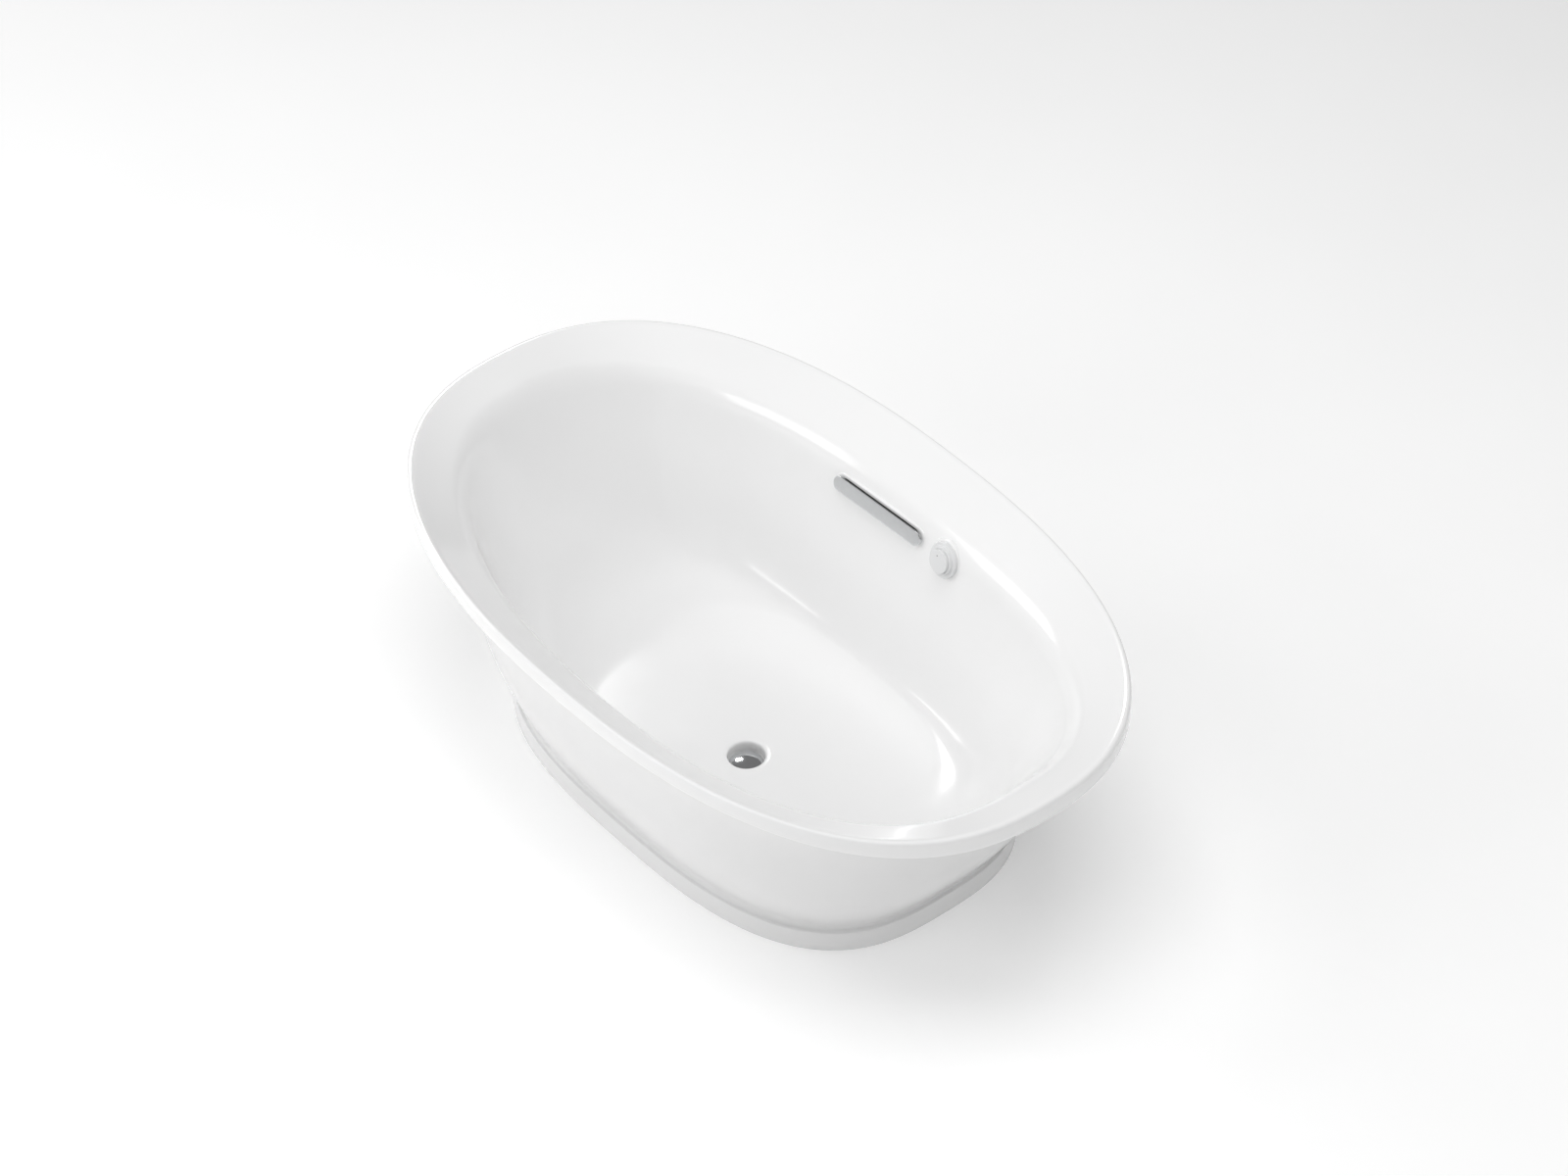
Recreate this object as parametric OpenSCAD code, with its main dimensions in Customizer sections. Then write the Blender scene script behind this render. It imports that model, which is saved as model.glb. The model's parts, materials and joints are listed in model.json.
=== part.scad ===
// Freestanding double-ended oval bathtub: an acrylic basin with a wide dished rim, a separate outer shroud,
// its waste and overflow, a round push control, warming pads and the supports under the floor.
// Millimetres. The origin is on the floor under the middle of the rim: X along the tub, Y across it, Z up.

/* [Overall] */
// Length over the rim
tub_length = 1676; // [1560:4:1800]
// Width over the rim
tub_width = 1016; // [960:4:1090]
// Height of the rim above the floor
tub_height = 516; // [500:2:560]

/* [Rim] */
// Height of the turned-down lip
lip_height = 42; // [36:1:48]
// Rounding of the rim's outer corner
rim_round = 16; // [12:1:20]
// Width of the dished deck at the two ends
deck_end_width = 98; // [80:1:110]
// Width of the dished deck at the two long sides
deck_side_width = 113; // [90:1:120]
// How far the deck falls at the two ends
deck_end_drop = 32; // [20:1:50]
// How far the deck falls at the two long sides
deck_side_drop = 100; // [80:1:110]

/* [Basin] */
// Thickness of the acrylic and glass-fibre shell
shell_wall = 8; // [6:0.5:9]
// Height of the basin's floor above the ground
floor_height = 80; // [76:1:86]
// Length at which the end walls would meet the floor
foot_length = 984; // [940:4:1010]
// Width at which the side walls would meet the floor
foot_width = 612; // [590:2:624]
// Length of the flat floor
flat_length = 650; // [620:2:700]
// Width of the flat floor
flat_width = 544; // [530:2:556]

/* [Shroud] */
// Thickness of the outer shroud
shroud_wall = 5; // [4:0.5:6]
// Length of the plinth band
plinth_length = 1112; // [1100:2:1140]
// Width of the plinth band
plinth_width = 728; // [720:2:744]
// Height of the plinth band
plinth_height = 48; // [40:1:54]
// How far the shroud steps in above the plinth
plinth_step = 12; // [8:1:13]
// Room between the deck's underside and the shroud's flange at the two ends
neck_end_gap = 3.8; // [2:0.2:5]
// Room between the deck's underside and the shroud's flange at the two long sides
neck_side_gap = 1.6; // [1.2:0.2:4]
// How far the shroud swells low down and hollows high up at the two ends
flare_end_bow = 13.1; // [8:0.1:15]
// How far the shroud swells low down and hollows high up at the two long sides
flare_side_bow = 7.7; // [4:0.1:9]
// Gap between the lip and the shroud's flange, filled by the seal
seal_gap = 4; // [3:0.5:6]

/* [Drain] */
// Drain centre along the tub
drain_x = 34; // [-20:1:60]
// Drain centre across the tub
drain_y = -68; // [-100:1:-30]
// Diameter of the moulded drain well
well_d = 75; // [72:0.5:82]
// Depth of the drain well below the floor
well_depth = 26; // [24:0.5:28]
// Diameter of the chrome waste flange
flange_d = 70; // [68:0.5:71]
// Diameter of the stopper cap
stopper_d = 64; // [56:0.5:66]
// Bore of the waste outlet
waste_bore = 40; // [38:0.5:42]
// How far the stopper rises
stopper_travel = 8; // [6:0.5:10]

/* [Overflow] */
// Overflow centre along the tub
overflow_x = -93; // [-120:1:-60]
// Overflow centre below the rim
overflow_drop = 134; // [128:1:146]
// Length of the overflow cover
cover_length = 250; // [220:2:260]
// Height of the overflow cover
cover_height = 34; // [30:1:36]
// Outside diameter of the overflow pipe
pipe_d = 20; // [18:0.5:21]

/* [Push control] */
// Control centre along the tub
control_x = 102; // [95:1:120]
// Control centre below the rim
control_drop = 134; // [128:1:146]
// Diameter of the control's bezel
bezel_d = 74; // [68:0.5:80]
// Diameter of the push cap
cap_d = 50; // [46:0.5:52]
// How far the cap goes in
cap_travel = 2.5; // [2:0.1:3]

/* [Supports] */
// Distance between the two support beams
beam_spacing = 500; // [460:2:540]
// Length of a support beam
beam_length = 440; // [400:2:460]
// Width of a support beam
beam_width = 50; // [44:1:56]
// Height of a support beam
beam_height = 30; // [28:0.5:31]
// Thickness of the board under the basin
board_wall = 12; // [10:0.5:13]
// Diameter of a levelling stud
stud_d = 10; // [8:0.5:12]
// Diameter of a levelling pad
pad_d = 44; // [36:1:48]

/* [Hidden] */

white = [0.94, 0.94, 0.94];
chrome = [0.72, 0.73, 0.75];
rubber = [0.12, 0.12, 0.12];
brass = [0.78, 0.62, 0.32];
plastic_grey = [0.45, 0.46, 0.48];
plastic_black = [0.10, 0.10, 0.11];
steel = [0.62, 0.64, 0.66];
plywood = [0.76, 0.62, 0.42];
pad_orange = [0.74, 0.42, 0.18];

segments = 80;
fit = 0.05;
clear = 0.3;
rim_power = 2.38;
foot_power = 2.9;
plinth_power = 2.85;

// A ring is [half length, half width, superellipse power, height at the ends, height at the sides].
lip_ring = [tub_length / 2, tub_width / 2, rim_power, tub_height - lip_height, tub_height - lip_height];
edge_ring = [tub_length / 2, tub_width / 2, rim_power, tub_height, tub_height];
crease_ring = [
    tub_length / 2 - deck_end_width, tub_width / 2 - deck_side_width, 2.4,
    tub_height - deck_end_drop, tub_height - deck_side_drop
];
foot_ring = [foot_length / 2, foot_width / 2, foot_power, floor_height, floor_height];
flat_ring = [flat_length / 2, flat_width / 2, 3, floor_height, floor_height];

function mix(p, q, t) = p * (1 - t) + q * t;
function bend(p, corner, q, t) = mix(mix(p, corner, t), mix(corner, q, t), t);
function bend_steps(p, corner, q, count) = [for (i = [0 : count]) bend(p, corner, q, i / count)];
function power_sign(v, k) = sign(v) * pow(abs(v), k);

// Height of a ring at the angle t, and its point there.
function ring_height(r, t) = r[4] + (r[3] - r[4]) * pow(cos(t), 2);
function ring_scale(r, t) = pow(pow(abs(cos(t)), r[2]) + pow(abs(sin(t)), r[2]), -1 / r[2]);
function ring_point(r, t) = [
    r[0] * cos(t) * ring_scale(r, t), r[1] * sin(t) * ring_scale(r, t), ring_height(r, t)
];
function ring_points(r) = [for (i = [0 : segments - 1]) ring_point(r, 360 * i / segments)];

// The same path of rings, moved off the surface by a distance: behind the basin's face, or inside the shroud.
function tangent(path, i) = path[min(i + 1, len(path) - 1)] - path[max(i - 1, 0)];
function shifted(r, d, distance) = [
    r[0] - distance * d[3] / norm([d[0], d[3]]),
    r[1] - distance * d[4] / norm([d[1], d[4]]),
    r[2],
    r[3] + distance * d[0] / norm([d[0], d[3]]),
    r[4] + distance * d[1] / norm([d[1], d[4]])
];
function offset_path(path, distance) = [
    for (i = [0 : len(path) - 1]) shifted(path[i], tangent(path, i), distance)
];
function reversed(list) = [for (i = [len(list) - 1 : -1 : 0]) list[i]];

// The basin's visible face, from the lip's lower edge over the rim and down to the flat floor.
basin_path = concat(
    [lip_ring],
    bend_steps(mix(edge_ring, lip_ring, rim_round / lip_height), edge_ring, mix(edge_ring, crease_ring, 0.16), 5),
    bend_steps(mix(crease_ring, edge_ring, 0.22), crease_ring, mix(crease_ring, foot_ring, 0.1), 4),
    [mix(crease_ring, foot_ring, 0.4)],
    bend_steps(mix(foot_ring, crease_ring, 0.32), foot_ring, flat_ring, 7)
);

// The shroud's outer face, from the return edge on the ground up to the flange inside the lip.
shroud_foot = [
    plinth_length / 2 - plinth_step, plinth_width / 2 - plinth_step, plinth_power, plinth_height + 4, plinth_height + 4
];
// The neck turns out under the lip where the deck's underside leaves room for the flange.
function neck_inset(width, drop, gap) = let (slope = drop / width)
    min((lip_height - shroud_wall - gap - shell_wall * norm([1, slope])) / slope, width - 12);
shroud_neck = [
    tub_length / 2 - neck_inset(deck_end_width, deck_end_drop, neck_end_gap),
    tub_width / 2 - neck_inset(deck_side_width, deck_side_drop, neck_side_gap),
    rim_power, tub_height - lip_height, tub_height - lip_height
];
flange_inset = shell_wall + seal_gap;
flange_edge = [
    tub_length / 2 - flange_inset, tub_width / 2 - flange_inset, rim_power,
    tub_height - lip_height, tub_height - lip_height
];
function shroud_flare(t) = mix(shroud_foot, shroud_neck, t)
    + sin(360 * t) * [flare_end_bow, flare_side_bow, 0, 0, 0];
function plinth_ring(inset, height) = [
    plinth_length / 2 - inset, plinth_width / 2 - inset, plinth_power, height, height
];
shroud_path = concat(
    [plinth_ring(22, 0), plinth_ring(1, 0), plinth_ring(0, 1), plinth_ring(0, plinth_height - 4)],
    [plinth_ring(1.5, plinth_height - 0.5), plinth_ring(plinth_step - 1, plinth_height + 1)],
    [for (i = [0 : 8]) shroud_flare(i * 0.95 / 8)],
    bend_steps(shroud_flare(0.97), shroud_neck, mix(shroud_neck, flange_edge, 0.35), 3),
    [flange_edge]
);

// Closed solids from rings of points, each ring running the same way round: capped at both ends, or looped.
function strip(a, b, count) = [
    for (j = [0 : count - 1]) let (k = (j + 1) % count)
        each [[a + j, b + j, b + k], [a + j, b + k, a + k]]
];
module capped_skin(rings) {
    count = len(rings[0]);
    last = (len(rings) - 1) * count;
    sides = [for (i = [0 : len(rings) - 2]) each strip(i * count, (i + 1) * count, count)];
    first_cap = [for (j = [1 : count - 2]) [0, j, j + 1]];
    last_cap = [for (j = [1 : count - 2]) [last, last + j + 1, last + j]];
    polyhedron(points = [for (r = rings) each r], faces = concat(sides, first_cap, last_cap));
}
module looped_skin(rings) {
    count = len(rings[0]);
    turns = len(rings);
    faces = [for (i = [0 : turns - 1]) each strip(i * count, (i + 1) % turns * count, count)];
    polyhedron(points = [for (r = rings) each r], faces = faces);
}
function outlines(path) = [for (r = path) ring_points(r)];

// A closed block between two grids of points, each a list of rows.
function grid_points(rings, from, to, count) = [
    for (r = rings) [for (j = [0 : count]) ring_point(r, from + (to - from) * j / count)]
];
module between(front, back) {
    rows = len(front);
    cols = len(front[0]);
    half = rows * cols;
    points = concat([for (row = front) each row], [for (row = back) each row]);
    cells = [for (i = [0 : rows - 2]) for (j = [0 : cols - 2]) i * cols + j];
    front_faces = [for (c = cells) each [[c, c + cols + 1, c + 1], [c, c + cols, c + cols + 1]]];
    back_faces = [for (f = front_faces) [f[2] + half, f[1] + half, f[0] + half]];
    rim = concat(
        [for (j = [0 : cols - 1]) j],
        [for (i = [1 : rows - 1]) i * cols + cols - 1],
        [for (j = [cols - 2 : -1 : 0]) (rows - 1) * cols + j],
        [for (i = [rows - 2 : -1 : 1]) i * cols]
    );
    rim_faces = [
        for (k = [0 : len(rim) - 1]) let (p = rim[k], q = rim[(k + 1) % len(rim)])
            each [[p, q, q + half], [p, q + half, p + half]]
    ];
    polyhedron(points = points, faces = concat(front_faces, back_faces, rim_faces));
}

// The basin's long back wall, where the overflow and the control sit.
crease_height = tub_height - deck_side_drop;
function wall_share(z) = (crease_height - z) / (crease_height - floor_height);
function wall_ring(z) = mix(crease_ring, foot_ring, wall_share(z));
function ring_y(r, x) = r[1] * pow(1 - pow(abs(x) / r[0], r[2]), 1 / r[2]);
function end_lift(r, x) = (r[3] - r[4]) * pow(x / r[0], 2);
function wall_y(x, z) = ring_y(wall_ring(z - end_lift(wall_ring(z), x)), x);
wall_tilt = atan((crease_ring[1] - foot_ring[1]) / (crease_height - floor_height));
function wall_turn(x, z, span) = atan((wall_y(x + span, z) - wall_y(x - span, z)) / (2 * span));
overflow_z = tub_height - overflow_drop;
control_z = tub_height - control_drop;

// A fitting's seat stands proud of the wall by its land, enough to clear the wall's curve all round the fitting.
function wall_rise(x, z, turn, dx, dz) =
    ([x + dx, wall_y(x + dx, z + dz), z + dz] - [x, wall_y(x, z), z])
    * wall_normal(turn);
function wall_normal(turn) = [sin(turn) * cos(wall_tilt), -cos(turn) * cos(wall_tilt), sin(wall_tilt)];
function land_of(x, z, span, rise) = let (turn = wall_turn(x, z, span))
    land_margin + max([for (dx = [-span : span / 2 : span]) for (dz = [-rise, rise]) wall_rise(x, z, turn, dx, dz)]);
land_margin = 0.6;

// The pad behind a fitting is as deep as the rounded crease above makes the wall fall away within its reach.
brow_rings = bend_steps(mix(crease_ring, edge_ring, 0.22), crease_ring, mix(crease_ring, foot_ring, 0.1), 10);
function brow_point(r, x) = [x, ring_y(r, x), r[4] + end_lift(r, x)];
function fall_of(x, z, span, reach) =
    let (
        turn = wall_turn(x, z, span),
        up = [-sin(turn) * sin(wall_tilt), cos(turn) * sin(wall_tilt), cos(wall_tilt)]
    )
    max([
        for (r = brow_rings) for (dx = [-span : span / 2 : span])
            let (p = brow_point(r, x + dx) - [x, wall_y(x, z), z]) p * up < reach ? -p * wall_normal(turn) : 0
    ]);
barrel_d = 26;
overflow_land = land_of(overflow_x, overflow_z, cover_length / 2, cover_height / 2);
overflow_fall = fall_of(overflow_x, overflow_z, cover_length / 2, cover_height / 2 + 4);
overflow_back = shell_wall + overflow_land + overflow_fall + 0.5;
control_land = land_of(control_x, control_z, bezel_d / 2, bezel_d / 4);
control_fall = fall_of(control_x, control_z, bezel_d / 2, barrel_d / 2 + 11);
control_back = shell_wall + control_land + control_fall + 0.5;

// Local frame of a fitting on that wall: X along the tub, Y up the wall, Z out of the wall into the basin.
module on_wall(x, z, land, span) {
    translate([x, wall_y(x, z) - land, z])
        rotate([0, 0, wall_turn(x, z, span)])
            rotate([90 - wall_tilt, 0, 0])
                children();
}
module on_overflow() {
    on_wall(overflow_x, overflow_z, overflow_land, cover_length / 2) children();
}
module on_control() {
    on_wall(control_x, control_z, control_land, bezel_d / 2) children();
}
module pill(length, height, depth) {
    linear_extrude(depth) {
        square([length - height, height], center = true);
        for (side = [-1, 1]) translate([side * (length - height) / 2, 0]) circle(d = height, $fn = 48);
    }
}

// A smooth route through a list of points, and a round section swept along it without twisting.
function unit(v) = v / norm(v);
function rounded(points, radius) = concat(
    [points[0]],
    [
        for (i = [1 : len(points) - 2]) let (p = points[i], from = points[i - 1] - p, to = points[i + 1] - p)
            each bend_steps(
                p + unit(from) * min(radius, norm(from) * 0.45), p, p + unit(to) * min(radius, norm(to) * 0.45), 4
            )
    ],
    [points[len(points) - 1]]
);
function heading(route, i) = unit(tangent(route, i));
function side_axis(route, i) = i == 0
    ? unit(cross(heading(route, 0), [0.31, 0.87, 0.38]))
    : let (t = heading(route, i), u = side_axis(route, i - 1)) unit(u - (u * t) * t);
function section(route, i, d, sides) = let (u = side_axis(route, i), v = cross(heading(route, i), u)) [
    for (j = [0 : sides - 1]) route[i] + d / 2 * (cos(360 * j / sides) * u + sin(360 * j / sides) * v)
];
function sections(route, d, sides) = [for (i = [0 : len(route) - 1]) section(route, i, d, sides)];

// Heights of the drain stack.
well_floor = floor_height - well_depth;
cup_bottom = well_floor - shell_wall;
flange_top = well_floor + 2.2;
gasket_wall = 2.5;
shoe_top = cup_bottom - gasket_wall;
thread_d = waste_bore + 8;
thread_bottom = 30;
slot_length = cover_length - 24;
slot_height = cover_height - 6;

module basin_shell() {
    back = offset_path(basin_path, shell_wall);
    color(white)
    difference() {
        union() {
            capped_skin(outlines(concat(reversed(back), basin_path)));
            translate([drain_x, drain_y, cup_bottom])
                cylinder(h = floor_height - cup_bottom - 1, d = well_d + 14, $fn = 64);
            on_overflow()
                translate([0, 0, -overflow_back]) pill(cover_length + 8, cover_height + 8, overflow_back);
            on_control()
                translate([0, 0, -control_back]) cylinder(h = control_back, d = bezel_d + 8, $fn = 64);
        }
        translate([drain_x, drain_y, well_floor]) cylinder(h = 60, d = well_d, $fn = 64);
        translate([drain_x, drain_y, floor_height - 3])
            cylinder(h = 3.2, d1 = well_d, d2 = well_d + 14, $fn = 64);
        translate([drain_x, drain_y, cup_bottom - 5]) cylinder(h = 40, d = thread_d + 1, $fn = 64);
        on_overflow()
            translate([0, 0, -30]) pill(slot_length, slot_height, 60);
        on_control()
            translate([0, 0, -30]) cylinder(h = 60, d = barrel_d + 1, $fn = 48);
    }
}

module outer_shroud() {
    back = offset_path(shroud_path, shroud_wall);
    color(white) looped_skin(outlines(concat(shroud_path, reversed(back))));
}

module rim_seal() {
    low = tub_height - lip_height + 1;
    outer = [tub_length / 2 - shell_wall - 0.1, tub_width / 2 - shell_wall - 0.1, rim_power];
    inner = [tub_length / 2 - flange_inset + 0.1, tub_width / 2 - flange_inset + 0.1, rim_power];
    color(white)
    looped_skin(outlines([
        concat(inner, [low, low]), concat(outer, [low, low]),
        concat(outer, [low + 4, low + 4]), concat(inner, [low + 4, low + 4])
    ]));
}

// Bonding blocks between the basin's back and the inside of the shroud.
block_angles = [58, 122, 238, 302];
block_low = 250;
block_high = 310;
function shroud_share(z) = (z - shroud_foot[3]) / (shroud_neck[3] - shroud_foot[3]);
function level(r, z) = [r[0], r[1], r[2], z, z];
function block_back(z) = let (r = wall_ring(z)) level(r + [1, 1, 0, 0, 0] * (shell_wall + 2), z);
function block_front(z) = let (r = shroud_flare(shroud_share(z))) level(r - [1, 1, 0, 0, 0] * (shroud_wall + 1.5), z);
module spacer_blocks() {
    heights = [block_low, (block_low + block_high) / 2, block_high];
    color(plywood)
    for (angle = block_angles)
        between(
            grid_points([for (z = heights) block_front(z)], angle - 2.2, angle + 2.2, 2),
            grid_points([for (z = heights) block_back(z)], angle - 2.2, angle + 2.2, 2)
        );
}

board_top = floor_height - shell_wall - 0.2;
board_bottom = board_top - board_wall;
beam_top = board_bottom - 0.1;
beam_bottom = beam_top - beam_height;
beam_skin = 2.5;
board_inset = 12;
screw_d = 4;
screw_bite = 8;
module floor_board() {
    edge = [flat_length / 2 - board_inset, flat_width / 2 - board_inset, flat_ring[2], 0, 0];
    outline = [for (p = ring_points(edge)) [p[0], p[1]]];
    color(plywood)
    difference() {
        translate([0, 0, board_bottom]) linear_extrude(board_wall) polygon(outline);
        translate([drain_x, drain_y, board_bottom - 1]) cylinder(h = board_wall + 2, d = well_d + 30, $fn = 64);
        for (side = [-1, 1]) for (row = screw_rows)
            translate([side * beam_spacing / 2, row * screw_y, board_bottom - 1])
                cylinder(h = screw_bite + 2, d = screw_d + 2 * fit, $fn = 32);
    }
}

foot_y = beam_length / 2 - 28;
screw_rows = [-1, -0.35, 0.35, 1];
screw_y = beam_length / 2 - 70;
module support_beam(x) {
    color(steel)
    difference() {
        translate([x - beam_width / 2, -beam_length / 2, beam_bottom])
            cube([beam_width, beam_length, beam_height]);
        translate([x - beam_width / 2 + beam_skin, -beam_length / 2 - 1, beam_bottom + beam_skin])
            cube([beam_width - 2 * beam_skin, beam_length + 2, beam_height - 2 * beam_skin]);
        for (side = [-1, 1])
            translate([x, side * foot_y, beam_bottom - 1]) cylinder(h = beam_skin + 2, d = stud_d + 2, $fn = 32);
        for (row = screw_rows)
            translate([x, row * screw_y, beam_top - beam_skin - 1])
                cylinder(h = beam_skin + 2, d = screw_d + 2 * clear, $fn = 32);
    }
}
module support_beam_left() {
    support_beam(-beam_spacing / 2);
}
module support_beam_right() {
    support_beam(beam_spacing / 2);
}

// Screws up through the beams' top walls into the board.
module beam_screws() {
    color(steel)
    for (side = [-1, 1]) for (row = screw_rows)
        translate([side * beam_spacing / 2, row * screw_y, beam_top - beam_skin - 3]) {
            cylinder(h = 2.9, d = 9, $fn = 32);
            cylinder(h = 3 + beam_skin + screw_bite, d = screw_d, $fn = 32);
        }
}

nut_height = 7.5;
nut_bottom = beam_bottom - nut_height - 0.1;
module leveller_nuts() {
    color(steel)
    for (x = [-1, 1]) for (y = [-1, 1])
        translate([x * beam_spacing / 2, y * foot_y, nut_bottom])
            difference() {
                cylinder(h = nut_height, d = stud_d + 10, $fn = 6);
                translate([0, 0, -1]) cylinder(h = nut_height + 2, d = stud_d + 2 * fit, $fn = 32);
            }
}

pad_height = 5;
module leveller(x, y) {
    color(steel)
    translate([x, y, 0]) {
        cylinder(h = pad_height, d1 = pad_d, d2 = pad_d - 6, $fn = 48);
        translate([0, 0, pad_height - 1]) cylinder(h = 6, d = 17, $fn = 6);
        translate([0, 0, pad_height - 1]) cylinder(h = beam_top - beam_skin - 10 - pad_height, d = stud_d, $fn = 32);
    }
}
module leveller_front_left() {
    leveller(-beam_spacing / 2, -foot_y);
}
module leveller_front_right() {
    leveller(beam_spacing / 2, -foot_y);
}
module leveller_back_left() {
    leveller(-beam_spacing / 2, foot_y);
}
module leveller_back_right() {
    leveller(beam_spacing / 2, foot_y);
}

// Waste: flange and threaded tail in one, its gasket, and the low shoe that takes the overflow pipe.
cartridge_d = 14;
stem_d = 8;
module at_drain(z) {
    translate([drain_x, drain_y, z]) children();
}
module waste_flange() {
    color(chrome)
    at_drain(0)
    difference() {
        union() {
            translate([0, 0, well_floor + 0.2]) cylinder(h = flange_top - well_floor - 0.2, d = flange_d, $fn = 64);
            translate([0, 0, thread_bottom]) cylinder(h = well_floor - thread_bottom + 1, d = thread_d, $fn = 64);
        }
        translate([0, 0, thread_bottom - 1]) cylinder(h = 60, d = waste_bore, $fn = 64);
        translate([0, 0, flange_top - 1.6]) cylinder(h = 3, d1 = waste_bore, d2 = waste_bore + 9, $fn = 64);
    }
    color(chrome)
    at_drain(thread_bottom + 4)
    difference() {
        for (turn = [0, 90]) rotate([0, 0, turn]) translate([-waste_bore / 2 - 1, -1.5, 0])
            cube([waste_bore + 2, 3, 6]);
        translate([0, 0, -1]) cylinder(h = 8, d = cartridge_d + 2 * fit, $fn = 48);
    }
}
module waste_gasket() {
    color(rubber)
    at_drain(shoe_top + 0.1)
    difference() {
        cylinder(h = gasket_wall - 0.2, d = well_d + 10, $fn = 64);
        translate([0, 0, -1]) cylinder(h = gasket_wall + 2, d = thread_d + 0.6, $fn = 64);
    }
}

// The shoe's side port points along the pipe's last run.
pipe_low = 22.5;
pipe_turn = [overflow_x, foot_width / 2 - 6, pipe_low];
port_angle = atan2(pipe_turn[1] - drain_y, pipe_turn[0] - drain_x);
port_reach = well_d / 2 + 14;
shoe_low = 2;
shoe_floor = 12;
module waste_shoe() {
    color(plastic_black)
    at_drain(0)
    difference() {
        union() {
            translate([0, 0, shoe_top - 6]) cylinder(h = 6, d = well_d + 10, $fn = 64);
            translate([0, 0, shoe_low]) cylinder(h = shoe_top - shoe_low - 1, d = thread_d + 10, $fn = 64);
            translate([0, 0, pipe_low]) rotate([0, 90, port_angle]) cylinder(h = port_reach, d = outlet_d, $fn = 48);
        }
        translate([0, 0, shoe_floor]) cylinder(h = 60, d = thread_d + 0.6, $fn = 64);
        translate([0, 0, -1]) cylinder(h = 60, d = waste_bore, $fn = 64);
        translate([0, 0, pipe_low]) rotate([0, 90, port_angle])
            translate([0, 0, 20]) cylinder(h = 40, d = pipe_d + 0.4, $fn = 48);
    }
}

// The stopper lifts to drain: a domed cap on a stem that slides in the cartridge.
cap_low = flange_top + 2.4;
stem_length = 23;
module stopper_cap() {
    dome = 4.5;
    edge = 1.6;
    half = stopper_d / 2;
    radius = (half * half + dome * dome) / (2 * dome);
    color(chrome)
    at_drain(cap_low) {
        cylinder(h = edge, d = stopper_d, $fn = 64);
        translate([0, 0, edge - 0.01])
            intersection() {
                cylinder(h = dome, d = stopper_d, $fn = 64);
                translate([0, 0, dome - radius]) sphere(r = radius, $fn = 96);
            }
        translate([0, 0, -stem_length]) cylinder(h = stem_length + 1, d = stem_d, $fn = 32);
    }
}
seal_mid = waste_bore + 0.675 * (stopper_d - waste_bore);
module stopper_seal() {
    color(rubber)
    at_drain(flange_top + 0.3)
    difference() {
        cylinder(h = 2, d = seal_mid + 2.5, $fn = 64);
        translate([0, 0, -1]) cylinder(h = 4, d = seal_mid - 2.5, $fn = 64);
    }
}
module stopper_cartridge() {
    color(brass)
    at_drain(thread_bottom + 1)
    difference() {
        union() {
            cylinder(h = 22, d = cartridge_d, $fn = 48);
            translate([0, 0, 9.1]) cylinder(h = 3, d = cartridge_d + 5, $fn = 6);
        }
        translate([0, 0, 2]) cylinder(h = 30, d = stem_d + 2 * fit, $fn = 32);
    }
}

// Overflow: a bright cover that stands off the wall, open along its top edge.
cover_stand = 9;
cover_skin = 2;
outlet_d = pipe_d + 6;
housing_depth = outlet_d + 0.6;
housing_back = overflow_back + 2.4 + housing_depth;
housing_mid = housing_back - housing_depth / 2;
clamp_x = slot_length / 2 - 12;
clamp_d = 5;
module at_clamps(z) {
    for (side = [-1, 1]) translate([side * clamp_x, 0, z]) children();
}
module overflow_cover() {
    inner_length = cover_length - 2 * cover_skin;
    plate_low = cover_stand - cover_skin;
    color(chrome)
    on_overflow() {
        difference() {
            translate([0, 0, 0.2]) pill(cover_length, cover_height, cover_stand - 0.2);
            translate([0, 0, -1]) pill(inner_length, cover_height - 2 * cover_skin, plate_low + 1);
            translate([-cover_length / 2 - 1, 4, -1]) cube([cover_length + 2, cover_height, plate_low + 1]);
        }
        at_clamps(-housing_back - 6) cylinder(h = housing_back + 6 + plate_low + 0.5, d = clamp_d, $fn = 32);
    }
}
module overflow_gasket() {
    color(rubber)
    on_overflow()
    translate([0, 0, -overflow_back - 2.2])
    difference() {
        pill(cover_length - 2, cover_height + 4, 2);
        translate([0, 0, -1]) pill(slot_length + 2, slot_height + 2, 4);
    }
}
pipe_start = [
    overflow_x,
    wall_y(overflow_x, overflow_z) - overflow_land + housing_mid * cos(wall_tilt) - cover_height / 2 * sin(wall_tilt),
    overflow_z - housing_mid * sin(wall_tilt) - cover_height / 2 - 2
];
module overflow_housing() {
    color(plastic_black)
    difference() {
        union() {
            on_overflow()
                translate([0, 0, -housing_back]) pill(cover_length - 2, cover_height + 4, housing_depth);
            translate(pipe_start + [0, 0, -14]) cylinder(h = 17, d = outlet_d, $fn = 48);
        }
        on_overflow() {
            translate([0, 0, 3 - housing_back]) pill(slot_length + 2, slot_height + 2, housing_depth);
            at_clamps(-housing_back - 1) cylinder(h = 6, d = clamp_d + 2 * clear, $fn = 32);
        }
        translate(pipe_start + [0, 0, -20]) cylinder(h = 34, d = pipe_d + 0.4, $fn = 48);
    }
}
module overflow_nuts() {
    color(steel)
    on_overflow()
        at_clamps(-housing_back - 3.6)
            difference() {
                cylinder(h = 3.5, d = clamp_d + 6, $fn = 6);
                translate([0, 0, -1]) cylinder(h = 6, d = clamp_d + 2 * fit, $fn = 32);
            }
}
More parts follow.
